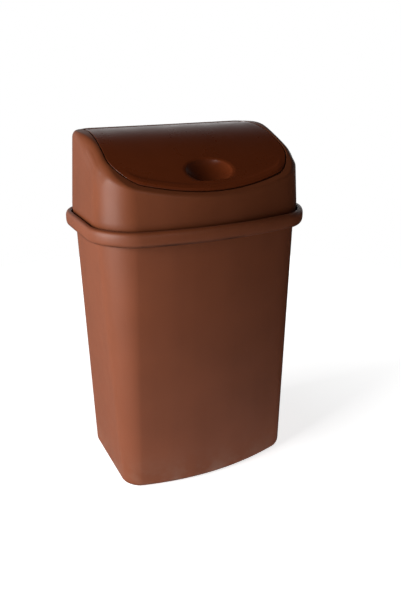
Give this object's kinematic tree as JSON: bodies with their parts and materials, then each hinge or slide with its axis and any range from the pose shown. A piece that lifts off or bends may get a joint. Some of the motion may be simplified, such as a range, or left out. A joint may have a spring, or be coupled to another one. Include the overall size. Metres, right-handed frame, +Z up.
{
  "type": "dog waste bin",
  "caption": "Free-standing tapered plastic dog waste bin with a bowed front, rolled rim, rear-hinged hood, sloping flap with a finger scoop, and a lift-out liner with a bail.",
  "frame": {"origin": "centre of the bounding box on the floor, under the middle of the bin", "axes": "+Z up, -Y the front with the finger scoop, +Y the hinged back, +X to the right seen from the front"},
  "size_m": [0.451, 0.3134, 0.7],
  "materials": {
    "bin_plastic": "satin injection moulded polypropylene",
    "hood_plastic": "satin injection moulded polypropylene",
    "flap_plastic": "satin injection moulded polypropylene",
    "liner_plastic": "matt moulded polypropylene",
    "black_rubber": "matt",
    "grip_plastic": "matt moulded",
    "nylon": "natural nylon",
    "zinc_plate": "zinc plated",
    "stainless": "brushed stainless"
  },
  "bodies": {
    "tub": {"tub_shell": "bin_plastic", "liner_bucket": "liner_plastic", "ballast_plate": "zinc_plate", "ballast_screw_1": "stainless", "ballast_screw_2": "stainless", "ballast_screw_3": "stainless", "ballast_screw_4": "stainless", "foot_pad_1": "black_rubber", "foot_pad_2": "black_rubber", "foot_pad_3": "black_rubber", "foot_pad_4": "black_rubber", "hinge_tub_leaf_left": "stainless", "hinge_tub_leaf_right": "stainless", "hinge_pin_left": "stainless", "hinge_pin_right": "stainless", "tub_rivet_1": "stainless", "tub_rivet_2": "stainless", "tub_rivet_3": "stainless", "tub_rivet_4": "stainless"},
    "hood": {"hood_shell": "hood_plastic", "flap_pin": "stainless", "flap_bush_left": "nylon", "flap_bush_right": "nylon", "flap_pin_clip_left": "stainless", "flap_pin_clip_right": "stainless", "flap_buffer_left": "black_rubber", "flap_buffer_right": "black_rubber", "hinge_hood_leaf_left": "stainless", "hinge_hood_leaf_right": "stainless", "hood_rivet_1": "stainless", "hood_rivet_2": "stainless", "hood_rivet_3": "stainless", "hood_rivet_4": "stainless"},
    "flap": {"flap": "flap_plastic"},
    "bail": {"bail_wire": "stainless", "bail_grip": "grip_plastic"}
  },
  "joints": [
    {"name": "hood_hinge", "type": "hinge", "parent": "tub", "child": "hood", "pos_m": [0, 0.15125, 0.538], "axis": [-1, 0, 0], "range_deg": [0, 100]},
    {"name": "flap_hinge", "type": "hinge", "parent": "hood", "child": "flap", "pos_m": [0, 0.08975, 0.6915], "axis": [-1, 0, 0], "range_deg": [0, 80]},
    {"name": "bail_swing", "type": "hinge", "parent": "tub", "child": "bail", "pos_m": [0, 0.01175, 0.494], "axis": [1, 0, 0], "range_deg": [0, 100]}
  ]
}
